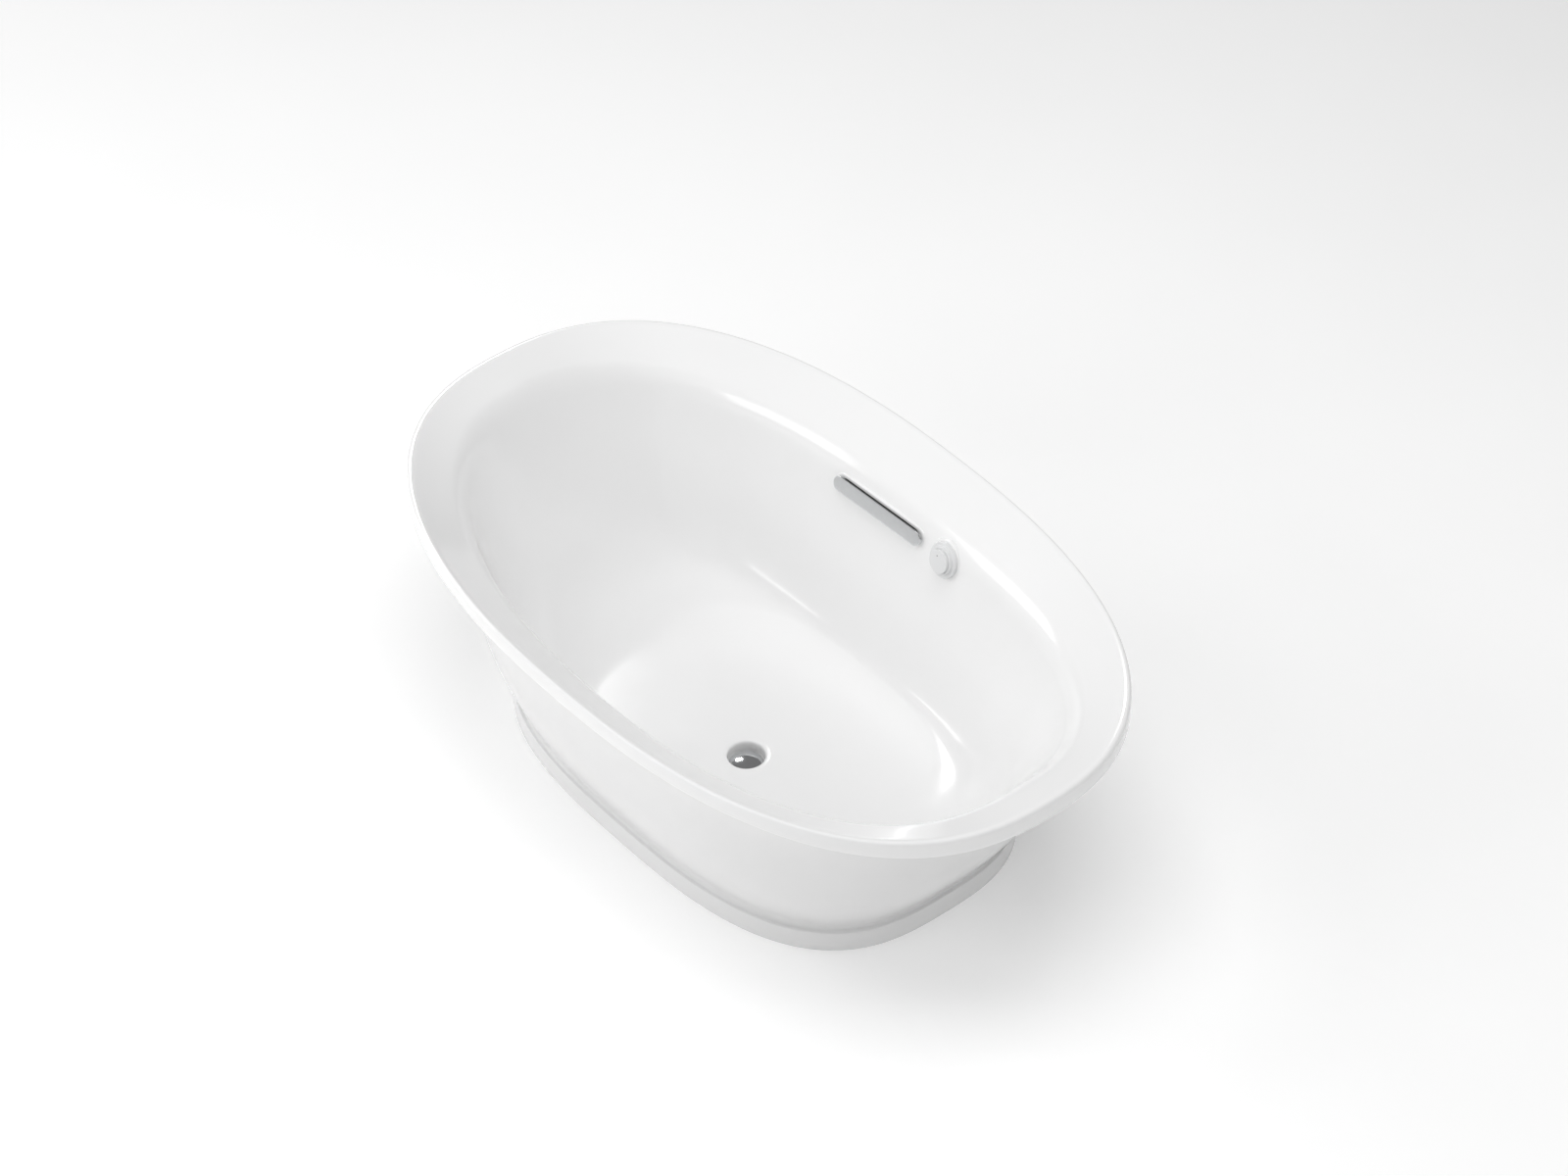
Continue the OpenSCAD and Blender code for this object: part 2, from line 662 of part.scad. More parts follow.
pipe_route = rounded(
    [
        pipe_start + [0, 0, -8],
        pipe_start + [0, 0, -42],
        [overflow_x, shroud_flare(0.42)[1] - 30, 230],
        [overflow_x, shroud_foot[1] - 24, 84],
        pipe_turn,
        [drain_x + 27 * cos(port_angle), drain_y + 27 * sin(port_angle), pipe_low]
    ],
    46
);
module overflow_pipe() {
    outside = sections(pipe_route, pipe_d, 20);
    bore = sections(pipe_route, pipe_d - 4, 20);
    color(plastic_grey) looped_skin(concat(outside, reversed(bore)));
}
module pipe_nut(height) {
    difference() {
        cylinder(h = height, d = outlet_d + 8, $fn = 8);
        translate([0, 0, -1]) cylinder(h = height + 2, d = pipe_d + 0.6, $fn = 48);
        translate([0, 0, 3]) cylinder(h = height, d = outlet_d + 0.4, $fn = 48);
    }
}
module overflow_pipe_nut() {
    color(plastic_grey) translate(pipe_start + [0, 0, -18]) pipe_nut(10);
}
module shoe_pipe_nut() {
    color(plastic_grey)
    translate([drain_x, drain_y, pipe_low])
        rotate([0, 90, port_angle])
            translate([0, 0, port_reach + 4])
                mirror([0, 0, 1]) pipe_nut(12);
}

// Push control: stepped bezel with a barrel through the wall, sprung cap, nut and switch.
bezel_low = 1.4;
bezel_step = 8;
bezel_high = 14;
pocket_floor = 6;
barrel_low = -control_back - 10;
cap_face = 20;
cap_rest = pocket_floor + cap_travel + 1.2;
spring_low = -1.9;
spring_d = 13.2;
module control_bezel() {
    color(white)
    on_control()
    difference() {
        rotate_extrude($fn = 96)
            polygon([
                [0, barrel_low], [barrel_d / 2, barrel_low], [barrel_d / 2, bezel_low], [bezel_d / 2, bezel_low],
                [bezel_d / 2, bezel_step - 1.5], [bezel_d / 2 - 1.5, bezel_step], [cap_d / 2 + 5, bezel_step],
                [cap_d / 2 + 5, bezel_high - 1.5], [cap_d / 2 + 3.5, bezel_high], [0, bezel_high]
            ]);
        translate([0, 0, pocket_floor]) cylinder(h = 20, d = cap_d + 2 * clear, $fn = 96);
        translate([0, 0, spring_low - 0.1]) cylinder(h = 20, d = spring_d + 4, $fn = 48);
        translate([0, 0, barrel_low - 1]) cylinder(h = 60, d = stem_d + 2 * fit, $fn = 32);
    }
}
module control_cap() {
    color(white)
    on_control()
    difference() {
        union() {
            translate([0, 0, cap_rest]) cylinder(h = cap_face - cap_rest - 1.2, d = cap_d, $fn = 96);
            translate([0, 0, cap_face - 1.21]) cylinder(h = 1.21, d1 = cap_d, d2 = cap_d - 2.4, $fn = 96);
            translate([0, 0, barrel_low - 2]) cylinder(h = cap_rest - barrel_low + 3, d = stem_d, $fn = 32);
        }
        translate([0, cap_d / 4.2, cap_face - 0.5]) cylinder(h = 2, d = 3, $fn = 24);
    }
}
module control_spring() {
    turns = 4;
    wire = 1;
    steps = turns * 12;
    rise = cap_rest - spring_low - 0.2 - wire;
    route = [
        for (i = [0 : steps]) let (t = 360 * turns * i / steps)
            [spring_d / 2 * cos(t), spring_d / 2 * sin(t), spring_low + wire / 2 + rise * i / steps]
    ];
    color(steel) on_control() capped_skin(sections(route, wire, 6));
}
module control_gasket() {
    color(rubber)
    on_control()
    translate([0, 0, 0.1])
    difference() {
        cylinder(h = 1.2, d = bezel_d - 4, $fn = 64);
        translate([0, 0, -1]) cylinder(h = 4, d = barrel_d + 1, $fn = 64);
    }
}
module control_nut() {
    color(plastic_grey)
    on_control()
    translate([0, 0, -control_back - 6.8])
    difference() {
        cylinder(h = 6.6, d = barrel_d + 18, $fn = 6);
        translate([0, 0, -1]) cylinder(h = 10, d = barrel_d + 2 * fit, $fn = 48);
    }
}
module control_switch() {
    color(plastic_black)
    on_control()
    translate([0, 0, barrel_low - 12])
    difference() {
        cylinder(h = 11.9, d = barrel_d - 1, $fn = 48);
        translate([0, 0, 6]) cylinder(h = 10, d = stem_d + 2, $fn = 32);
    }
}

// Control box on the right beam's outer side, with its lid and the gland for the supply lead.
box_low = 16;
box_size = [92, 150, 34];
box_x = beam_spacing / 2 + beam_width / 2 + 0.5;
module control_box() {
    color(plastic_grey)
    translate([box_x, -box_size[1] / 2, box_low])
    difference() {
        cube(box_size);
        translate([3, 3, 3]) cube(box_size - [6, 6, 2]);
        translate([box_size[0] / 2, -1, box_size[2] / 2]) rotate([-90, 0, 0]) cylinder(h = 6, d = 12.4, $fn = 32);
    }
}
module control_box_lid() {
    color(plastic_grey)
    translate([box_x, -box_size[1] / 2, box_low + box_size[2] + 0.1]) cube([box_size[0], box_size[1], 3]);
}
module supply_gland() {
    color(plastic_black)
    translate([box_x + box_size[0] / 2, -box_size[1] / 2, box_low + box_size[2] / 2])
    rotate([90, 0, 0])
    difference() {
        union() {
            translate([0, 0, -6]) cylinder(h = 12, d = 12, $fn = 32);
            translate([0, 0, 0.2]) cylinder(h = 5, d = 20, $fn = 6);
            translate([0, 0, 5]) cylinder(h = 9, d = 17, $fn = 48);
        }
        translate([0, 0, -10]) cylinder(h = 30, d = 7, $fn = 32);
    }
}

// Leads inside the shroud, held along their whole length.
lead_d = 5;
box_side_y = box_size[1] / 2;
switch_back = 12.2 - barrel_low;
module lead(points) {
    color(plastic_black) capped_skin(sections(rounded(points, 34), lead_d, 8));
}
module control_cable() {
    start_y = wall_y(control_x, control_z) - control_land + switch_back * cos(wall_tilt);
    start_z = control_z - switch_back * sin(wall_tilt);
    lead([
        [control_x, start_y + 3.4, start_z + 3],
        [control_x, start_y + 1, start_z - 24],
        [control_x + 4, shroud_flare(0.42)[1] - 26, 230],
        [control_x + 30, shroud_foot[1] - 22, 84],
        [box_x + 26, 262, 40],
        [box_x + 30, box_side_y + 40, 30],
        [box_x + 30, box_side_y + 0.6, 30]
    ]);
}

// Warming pads bonded to the back of the two sloping end walls.
pad_shares = [0.22, 0.34, 0.46, 0.58];
pad_spread = 26;
function pad_rings(distance) = reversed(
    offset_path([for (u = pad_shares) mix(crease_ring, foot_ring, u)], distance)
);
module warming_pad(angle) {
    color(pad_orange)
    between(
        grid_points(pad_rings(shell_wall + 2.2), angle - pad_spread, angle + pad_spread, 14),
        grid_points(pad_rings(shell_wall + 0.7), angle - pad_spread, angle + pad_spread, 14)
    );
}
module warming_pad_left() {
    warming_pad(180);
}
module warming_pad_right() {
    warming_pad(0);
}
pad_end = pad_rings(shell_wall + 2.2)[0];
lead_rings = pad_rings(shell_wall + 2.2 + lead_d / 2 + 0.35);
lead_from = mix(lead_rings[0], lead_rings[1], 0.15);
module warming_cable_left() {
    lead([
        [-lead_from[0], 0, lead_from[3]],
        [-pad_end[0] + 70, 0, 100],
        [-flat_length / 2 - 60, -40, 30],
        [-flat_length / 2, -150, 14],
        [box_x - 60, -150, 10],
        [box_x + 20, -box_side_y - 30, 24],
        [box_x + 20, -box_side_y - 0.8, 30]
    ]);
}
module warming_cable_right() {
    lead([
        [lead_from[0], 0, lead_from[3]],
        [pad_end[0] - 70, 0, 100],
        [box_x + box_size[0] + 34, 0, 34],
        [box_x + box_size[0] + 0.8, 0, 30]
    ]);
}

basin_shell();
outer_shroud();
rim_seal();
spacer_blocks();
floor_board();
support_beam_left();
support_beam_right();
beam_screws();
leveller_nuts();
leveller_front_left();
leveller_front_right();
leveller_back_left();
leveller_back_right();
waste_flange();
waste_gasket();
waste_shoe();
stopper_cap();
stopper_seal();
stopper_cartridge();
overflow_cover();
overflow_gasket();
overflow_housing();
overflow_nuts();
overflow_pipe();
overflow_pipe_nut();
shoe_pipe_nut();
control_bezel();
control_cap();
control_spring();
control_gasket();
control_nut();
control_switch();
control_box();
control_box_lid();
supply_gland();
control_cable();
warming_pad_left();
warming_pad_right();
warming_cable_left();
warming_cable_right();
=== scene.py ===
import json
import math

import bmesh
import bpy
from mathutils import Matrix, Vector


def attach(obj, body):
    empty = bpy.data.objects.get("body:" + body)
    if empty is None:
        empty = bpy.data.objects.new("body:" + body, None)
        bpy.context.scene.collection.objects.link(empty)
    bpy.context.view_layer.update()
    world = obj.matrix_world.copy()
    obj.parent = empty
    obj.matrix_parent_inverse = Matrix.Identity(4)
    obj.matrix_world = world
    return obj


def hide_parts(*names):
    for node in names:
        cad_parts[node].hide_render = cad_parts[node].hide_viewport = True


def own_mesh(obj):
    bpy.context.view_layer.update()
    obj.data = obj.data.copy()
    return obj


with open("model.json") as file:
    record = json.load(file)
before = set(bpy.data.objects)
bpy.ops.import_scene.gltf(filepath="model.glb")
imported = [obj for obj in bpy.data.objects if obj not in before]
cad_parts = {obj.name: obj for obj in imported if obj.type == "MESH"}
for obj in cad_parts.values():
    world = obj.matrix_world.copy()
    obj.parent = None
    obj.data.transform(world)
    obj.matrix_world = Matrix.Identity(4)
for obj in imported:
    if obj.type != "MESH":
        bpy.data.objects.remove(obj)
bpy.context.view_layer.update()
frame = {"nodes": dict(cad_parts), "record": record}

# ---------------------------------------------------------------- sizes, in millimetres
LENGTH, WIDTH, HEIGHT = 1676.0, 1016.0, 516.0
LIP, RIM_ROUND = 42.0, 16.0
WALL, FLOOR = 8.0, 80.0
DRAIN = (34.0, -68.0)
WELL_D, WELL_DEPTH = 75.0, 26.0
WELL_FLOOR = FLOOR - WELL_DEPTH
SHROUD_WALL, SHROUD_FOOT_Z = 5.0, 52.0
END_BOW, SIDE_BOW = 13.1, 7.7
BORE_R, FLANGE_R, FLANGE_THICK = 20.0, 35.0, 2.2
DOME_R, DOME_RISE, CAP_RIM = 32.0, 4.5, 1.6
COVER_LENGTH, COVER_HEIGHT, COVER_STAND, COVER_SKIN = 250.0, 34.0, 9.0, 2.0
SLOT_LENGTH, SLOT_HEIGHT = 226.0, 28.0
SCREW_REACH, SCREW_R = 101.0, 2.5
SEAT_MARGIN = 8.0
BEZEL_R, BARREL_R, BARREL_LOW = 37.0, 13.0, -21.14
STEM_R, STEM_LOW = 4.0, -23.14
CAP_R, CAP_FACE = 25.0, 19.4
MM = 0.001

LIP_RING = (LENGTH / 2, WIDTH / 2, 2.38, HEIGHT - LIP, HEIGHT - LIP)
EDGE_RING = (LENGTH / 2, WIDTH / 2, 2.38, HEIGHT, HEIGHT)
CREASE_RING = (LENGTH / 2 - 98, WIDTH / 2 - 113, 2.4, HEIGHT - 32, HEIGHT - 100)
FOOT_RING = (492.0, 306.0, 2.9, FLOOR, FLOOR)
FLAT_RING = (325.0, 272.0, 3.0, FLOOR, FLOOR)


def mix(p, q, t):
    return tuple(a * (1 - t) + b * t for a, b in zip(p, q))


def bend(p, corner, q, steps):
    return [mix(mix(p, corner, i / steps), mix(corner, q, i / steps), i / steps) for i in range(steps + 1)]


def ring_point(r, angle):
    c, s = math.cos(angle), math.sin(angle)
    k = (abs(c) ** r[2] + abs(s) ** r[2]) ** (-1 / r[2])
    return Vector((r[0] * c * k, r[1] * s * k, r[4] + (r[3] - r[4]) * c * c))


def offset_rings(rings, distance):
    out = []
    for i, r in enumerate(rings):
        p, q = rings[max(i - 1, 0)], rings[min(i + 1, len(rings) - 1)]
        da, db, ze, zs = q[0] - p[0], q[1] - p[1], q[3] - p[3], q[4] - p[4]
        ne, ns = math.hypot(da, ze), math.hypot(db, zs)
        out.append((r[0] - distance * ze / ne, r[1] - distance * zs / ns, r[2],
                    r[3] + distance * da / ne, r[4] + distance * db / ns))
    return out


# ---------------------------------------------------------------- mesh helpers
def link(name, bm, material, smooth=40.0):
    """A finished mesh object, smooth everywhere but at edges sharper than the given angle."""
    bmesh.ops.recalc_face_normals(bm, faces=bm.faces)
    mesh = bpy.data.meshes.new(name)
    for f in bm.faces:
        f.smooth = True
    for e in bm.edges:
        if len(e.link_faces) == 2 and e.calc_face_angle(0.0) > math.radians(smooth):
            e.smooth = False
    bm.to_mesh(mesh)
    bm.free()
    obj = bpy.data.objects.new(name, mesh)
    bpy.context.scene.collection.objects.link(obj)
    if material:
        mesh.materials.append(material)
    return obj


def add_rings(bm, rings, closed=False, place=None):
    """Skins a list of point rings; place moves each point. Returns the rings' vertices."""
    rows = [[bm.verts.new((place @ Vector(p)) if place else p) for p in ring] for ring in rings]
    pairs = list(zip(rows, rows[1:])) + ([(rows[-1], rows[0])] if closed else [])
    for a, b in pairs:
        n = len(a)
        for j in range(n):
            k = (j + 1) % n
            bm.faces.new((a[j], a[k], b[k], b[j]))
    return rows


def oval_rings(rings, segments=320):
    return [[ring_point(r, 2 * math.pi * j / segments) * MM for j in range(segments)] for r in rings]


def circle(radius, z, steps, centre=(0.0, 0.0)):
    """A level ring of points, given in millimetres."""
    x, y = centre
    turns = [2 * math.pi * j / steps for j in range(steps)]
    return [Vector((x + radius * math.cos(a), y + radius * math.sin(a), z)) * MM for a in turns]


def lifted(outline, z):
    """An outline in the plane as points at one height."""
    return [Vector((x, y, z)) * MM for x, y in outline]


def cap_ends(bm, rows):
    bm.faces.new(rows[0])
    bm.faces.new(rows[-1])


def fillet(profile, radius, steps=4):
    """Rounds the inner corners of an open (r, z) profile; radius is one value or one for each point."""
    radii = radius if isinstance(radius, (list, tuple)) else [radius] * len(profile)
    out = [profile[0]]
    for i in range(1, len(profile) - 1):
        p, a, b = Vector(profile[i]), Vector(profile[i - 1]), Vector(profile[i + 1])
        r = min(radii[i], (a - p).length * 0.48, (b - p).length * 0.48)
        if r < 1e-4:
            out.append(tuple(p))
            continue
        start, end = p + (a - p).normalized() * r, p + (b - p).normalized() * r
        out += bend(tuple(start), tuple(p), tuple(end), steps)
    out.append(profile[-1])
    return out


def lathe(name, profile, place, material, segments=96, closed=False, smooth=40.0):
    """Turns an (r, z) profile in millimetres about the local Z axis."""
    bm = bmesh.new()
    add_rings(bm, [circle(max(r, 0.0005), z, segments) for r, z in profile], closed, place)
    bmesh.ops.remove_doubles(bm, verts=bm.verts, dist=2e-6)
    return link(name, bm, material, smooth)


def pill_outline(length, height, inset=0.0, round_steps=20, straight_steps=12):
    """Points of a stadium outline, counter-clockwise from its lower left, in millimetres."""
    half, r = (length - height) / 2, height / 2 - inset
    pts = []
    for i in range(straight_steps):
        pts.append((-half + 2 * half * i / straight_steps, -r))
    for i in range(round_steps):
        a = -math.pi / 2 + math.pi * i / round_steps
        pts.append((half + r * math.cos(a), r * math.sin(a)))
    for i in range(straight_steps):
        pts.append((half - 2 * half * i / straight_steps, r))
    for i in range(round_steps):
        a = math.pi / 2 + math.pi * i / round_steps
        pts.append((-half + r * math.cos(a), r * math.sin(a)))
    return pts


def bridge_planes(bm, outer, inner):
    """Fills a flat region between an outer loop of vertices and an inner one."""
    pairs = [pair for loop in (outer, inner) for pair in zip(loop, loop[1:] + loop[:1])]
    edges = [bm.edges.get(pair) or bm.edges.new(pair) for pair in pairs]
    bmesh.ops.triangle_fill(bm, use_beauty=True, use_dissolve=False, edges=edges)


def sweep(name, points, diameter, material, sides=10, corner=0.2):
    """A round wire through close points, in millimetres, with each corner cut off at a short distance."""
    pts = [Vector(p) for p in points]
    route = [pts[0]]
    for before, here, after in zip(pts, pts[1:], pts[2:]):
        for way in (before - here, after - here):
            route.append(here + way.normalized() * min(corner, way.length * 0.45))
    route.append(pts[-1])
    bm = bmesh.new()
    rings = []
    axis = None
    for i, p in enumerate(route):
        t = (route[min(i + 1, len(route) - 1)] - route[max(i - 1, 0)]).normalized()
        axis = t.orthogonal().normalized() if axis is None else (axis - t * axis.dot(t)).normalized()
        side = t.cross(axis)
        r = diameter / 2
        turns = [2 * math.pi * j / sides for j in range(sides)]
        rings.append([(p + axis * (r * math.cos(a)) + side * (r * math.sin(a))) * MM for a in turns])
    cap_ends(bm, add_rings(bm, rings))
    return link(name, bm, material, 60.0)


# ---------------------------------------------------------------- material helpers
class Nodes:
    def __init__(self, name):
        self.mat = bpy.data.materials.new(name)
        self.mat.use_nodes = True
        self.tree = self.mat.node_tree
        self.tree.nodes.clear()
        self.out = self.add("ShaderNodeOutputMaterial")
        self.bsdf = self.add("ShaderNodeBsdfPrincipled")
        self.link(self.bsdf.outputs[0], self.out.inputs[0])
        self.coords = self.add("ShaderNodeTexCoord").outputs["Object"]

    def add(self, kind, **values):
        node = self.tree.nodes.new(kind)
        for key, value in values.items():
            if hasattr(node, key):
                setattr(node, key, value)
            else:
                node.inputs[key.replace("_", " ")].default_value = value
        return node

    def link(self, a, b):
        self.tree.links.new(a, b)

    def set(self, **values):
        for key, value in values.items():
            self.bsdf.inputs[key.replace("_", " ")].default_value = value

    def scaled(self, scale=(1, 1, 1), source=None):
        node = self.add("ShaderNodeMapping")
        node.inputs["Scale"].default_value = scale
        self.link(source or self.coords, node.inputs["Vector"])
        return node.outputs[0]

    def noise(self, scale, detail=3.0, vector=None, rough=0.5):
        node = self.add("ShaderNodeTexNoise", Scale=scale, Detail=detail, Roughness=rough)
        self.link(vector or self.coords, node.inputs["Vector"])
        return node.outputs["Fac"]

    def remap(self, value, low, high, from_low=0.0, from_high=1.0):
        node = self.add("ShaderNodeMapRange")
        limits = {"From Min": from_low, "From Max": from_high, "To Min": low, "To Max": high}
        for key, number in limits.items():
            node.inputs[key].default_value = number
        self.link(value, node.inputs["Value"])
        return node.outputs["Result"]

    def ramp(self, value, stops):
        node = self.add("ShaderNodeValToRGB")
        els = node.color_ramp.elements
        while len(els) < len(stops):
            els.new(0.5)
        for el, (pos, colour) in zip(els, stops):
            el.position = pos
            el.color = (*colour, 1.0)
        self.link(value, node.inputs["Fac"])
        return node.outputs["Color"]

    def bump(self, height, strength, distance, normal=None):
        node = self.add("ShaderNodeBump", Strength=strength, Distance=distance)
        self.link(height, node.inputs["Height"])
        if normal:
            self.link(normal, node.inputs["Normal"])
        return node.outputs["Normal"]

    def use(self, **sockets):
        for key, output in sockets.items():
            self.link(output, self.bsdf.inputs[key.replace("_", " ")])
        return self.mat


def shade(colour, k):
    return tuple(min(1.0, c * k) for c in colour)


def acrylic(name, colour, rough=0.16, wave=0.00035):
    """Vacuum-formed sanitary acrylic: a deep gloss over a faintly rolling surface."""
    m = Nodes(name)
    m.set(IOR=1.49, Coat_Weight=0.35, Coat_Roughness=0.06)
    tone = m.ramp(m.noise(3.0, 4.0), [(0.3, shade(colour, 0.992)), (0.7, colour)])
    gloss = m.remap(m.noise(14.0, 5.0), rough - 0.03, rough + 0.05)
    rolling = m.bump(m.noise(5.5, 1.5), 0.35, wave)
    peel = m.bump(m.noise(260.0, 2.0), 0.12, 0.00004, rolling)
    return m.use(Base_Color=tone, Roughness=gloss, Normal=peel)


def metal(name, colour, rough, brushed=None, grain=90.0):
    """Polished or plated metal with fine marks."""
    m = Nodes(name)
    m.set(Metallic=1.0)
    vector = m.scaled(brushed) if brushed else m.coords
    marks = m.noise(grain, 6.0, vector, 0.7)
    tone = m.ramp(marks, [(0.25, shade(colour, 0.94)), (0.75, colour)])
    return m.use(Base_Color=tone, Roughness=m.remap(m.noise(22.0, 4.0), rough, rough * 1.7 + 0.01),
                 Normal=m.bump(marks, 0.05, 0.0001))


def zinc(name):
    """Zinc-plated steel with a faint spangle."""
    m = Nodes(name)
    m.set(Metallic=1.0)
    cells = m.add("ShaderNodeTexVoronoi", Scale=70.0)
    m.link(m.coords, cells.inputs["Vector"])
    tone = m.ramp(cells.outputs["Color"], [(0.1, (0.42, 0.44, 0.46)), (0.9, (0.62, 0.64, 0.66))])
    rough = m.remap(m.noise(60.0, 5.0), 0.28, 0.5)
    return m.use(Base_Color=tone, Roughness=rough, Normal=m.bump(m.noise(400.0, 3.0), 0.15, 0.0001))


def moulded(name, colour, rough=0.45, grain=700.0, depth=0.00008):
    """Injection-moulded plastic or rubber with a spark-eroded grain."""
    m = Nodes(name)
    tone = m.ramp(m.noise(9.0, 4.0), [(0.3, shade(colour, 0.86)), (0.7, colour)])
    gloss = m.remap(m.noise(35.0, 4.0), rough - 0.06, rough + 0.08)
    return m.use(Base_Color=tone, Roughness=gloss, Normal=m.bump(m.noise(grain, 3.0), 0.3, depth))


def veneered(name):
    """Plywood: grain on the faces and glued layers round the edges."""
    m = Nodes(name)
    grain = m.noise(9.0, 8.0, m.scaled((1.0, 9.0, 9.0)), 0.65)
    dark, mid, pale = (0.42, 0.27, 0.14), (0.62, 0.45, 0.27), (0.74, 0.58, 0.38)
    face = m.ramp(grain, [(0.25, dark), (0.5, mid), (0.8, pale)])
    layers = m.add("ShaderNodeTexWave", Scale=160.0, Distortion=0.6, bands_direction="Z")
    m.link(m.coords, layers.inputs["Vector"])
    edge = m.ramp(layers.outputs["Fac"], [(0.35, (0.34, 0.21, 0.11)), (0.65, (0.70, 0.53, 0.34))])
    split = m.add("ShaderNodeSeparateXYZ")
    m.link(m.add("ShaderNodeNewGeometry").outputs["Normal"], split.inputs[0])
    flat = m.add("ShaderNodeMath", operation="ABSOLUTE")
    m.link(split.outputs["Z"], flat.inputs[0])
    blend = m.add("ShaderNodeMix", data_type="RGBA")
    m.link(flat.outputs[0], blend.inputs[0])
    m.link(edge, blend.inputs[6])
    m.link(face, blend.inputs[7])
    return m.use(Base_Color=blend.outputs[2], Roughness=m.remap(grain, 0.6, 0.85),
                 Normal=m.bump(grain, 0.3, 0.0004))


def heater_mat(name):
    """Silicone heating mat with the element's runs showing through."""
    m = Nodes(name)
    runs = m.add("ShaderNodeTexWave", Scale=17.0, Distortion=0.0, bands_direction="Y")
    m.link(m.coords, runs.inputs["Vector"])
    line = m.remap(runs.outputs["Fac"], 0.0, 1.0, 0.72, 0.95)
    colour = m.ramp(line, [(0.0, (0.50, 0.17, 0.05)), (1.0, (0.27, 0.08, 0.03))])
    return m.use(Base_Color=colour, Roughness=m.remap(m.noise(50.0, 3.0), 0.45, 0.65),
                 Normal=m.bump(line, 0.6, 0.0006))


# The basin's white is set lighter than the shroud's white, though both are one acrylic: painted light, lifted
# so the inside of the basin reads brighter.
BASIN_WHITE_LIFTED = (0.91, 0.91, 0.91)
M_BASIN = acrylic("bath_acrylic", BASIN_WHITE_LIFTED)
M_SHROUD = acrylic("shroud_acrylic", (0.80, 0.80, 0.80), 0.24)
M_PLASTIC_WHITE = acrylic("control_white_plastic", (0.78, 0.785, 0.79), 0.22, 0.0001)
M_SEAL = moulded("sealant_white", (0.62, 0.62, 0.61), 0.4, 300.0)
M_CHROME = metal("polished_chrome", (0.78, 0.79, 0.80), 0.05)
M_ZINC = zinc("zinc_steel")
M_SPRING = metal("spring_wire", (0.55, 0.56, 0.58), 0.22, None, 300.0)
M_BRASS = metal("machined_brass", (0.72, 0.52, 0.24), 0.2, (1.0, 1.0, 20.0))
M_RUBBER = moulded("black_rubber", (0.02, 0.02, 0.022), 0.62, 420.0, 0.00012)
M_BLACK = moulded("black_plastic", (0.022, 0.022, 0.024), 0.42)
M_GREY = moulded("grey_plastic", (0.17, 0.175, 0.185), 0.42)
M_CABLE = moulded("cable_sheath", (0.03, 0.03, 0.033), 0.5, 260.0)
M_PLY = veneered("plywood")
M_HEAT = heater_mat("heating_mat")


# ---------------------------------------------------------------- the basin
def basin_front():
    deck = mix(EDGE_RING, CREASE_RING, 0.16)
    top = mix(EDGE_RING, LIP_RING, RIM_ROUND / LIP)
    rings = [(*LIP_RING[:3], LIP_RING[3] + 2.0, LIP_RING[4] + 2.0)]
    rings += [mix(LIP_RING, EDGE_RING, k) for k in (0.2, 0.4)]
    rings += bend(top, EDGE_RING, deck, 14)
    rings += [mix(EDGE_RING, CREASE_RING, k) for k in (0.28, 0.4, 0.52, 0.64)]
    rings += bend(mix(CREASE_RING, EDGE_RING, 0.22), CREASE_RING, mix(CREASE_RING, FOOT_RING, 0.1), 14)
    rings += [mix(CREASE_RING, FOOT_RING, k) for k in (0.17, 0.25, 0.33, 0.41, 0.49, 0.57, 0.63)]
    rings += bend(mix(FOOT_RING, CREASE_RING, 0.32), FOOT_RING, FLAT_RING, 26)
    return rings


def make_basin():
    front = basin_front()
    back = offset_rings(front[:-1:2] + [front[-1]], WALL)
    edge = LIP_RING
    lip = [
        (edge[0] - WALL, edge[1] - WALL, edge[2], edge[3] + 1.2, edge[4] + 1.2),
        (edge[0] - WALL + 1.2, edge[1] - WALL + 1.2, edge[2], edge[3], edge[4]),
        (edge[0] - 1.8, edge[1] - 1.8, edge[2], edge[3], edge[4]),
        (edge[0] - 0.5, edge[1] - 0.5, edge[2], edge[3] + 0.5, edge[4] + 0.5),
    ]
    bm = bmesh.new()
    rows = add_rings(bm, oval_rings(list(reversed(back[1:])) + lip + front))
    # The drain well, turned and joined to the flat floor by a soft shoulder.
    r, neck = WELL_D / 2, 24.5
    well = fillet([(r + 15, 0), (r + 8.5, 0), (r + 1.5, -1.6), (r, -7), (r, -WELL_DEPTH), (neck, -WELL_DEPTH),
                   (neck, -WELL_DEPTH - WALL), (r + 7, -WELL_DEPTH - WALL), (r + 7, -WALL)],
                  [0, 6, 4, 3, 5, 0.6, 0.6, 3, 0], 6)
    cup = add_rings(bm, [circle(q, FLOOR + z, 128, DRAIN) for q, z in well])
    bridge_planes(bm, rows[-1], cup[0])
    bridge_planes(bm, rows[0], cup[-1])
    return link("basin", bm, M_BASIN, 50.0)


def wall_y(x, z):
    """How far out the long back wall stands at a place along the tub and a height."""
    def ring(height):
        return mix(CREASE_RING, FOOT_RING, (CREASE_RING[4] - height) / (CREASE_RING[4] - FLOOR))
    here = ring(z)
    r = ring(z - (here[3] - here[4]) * (x / here[0]) ** 2)
    return r[1] * (1 - (abs(x) / r[0]) ** r[2]) ** (1 / r[2])


def on_wall(x, z, land, span):
    """The local frame of a fitting on the long back wall: X along the tub, Y up the wall, Z inwards."""
    turn = math.atan((wall_y(x + span, z) - wall_y(x - span, z)) / (2 * span))
    tilt = math.atan((CREASE_RING[1] - FOOT_RING[1]) / (CREASE_RING[4] - FLOOR))
    move = Matrix.Translation(Vector((x, wall_y(x, z) - land, z)) * MM)
    return move @ Matrix.Rotation(turn, 4, "Z") @ Matrix.Rotation(math.pi / 2 - tilt, 4, "X")


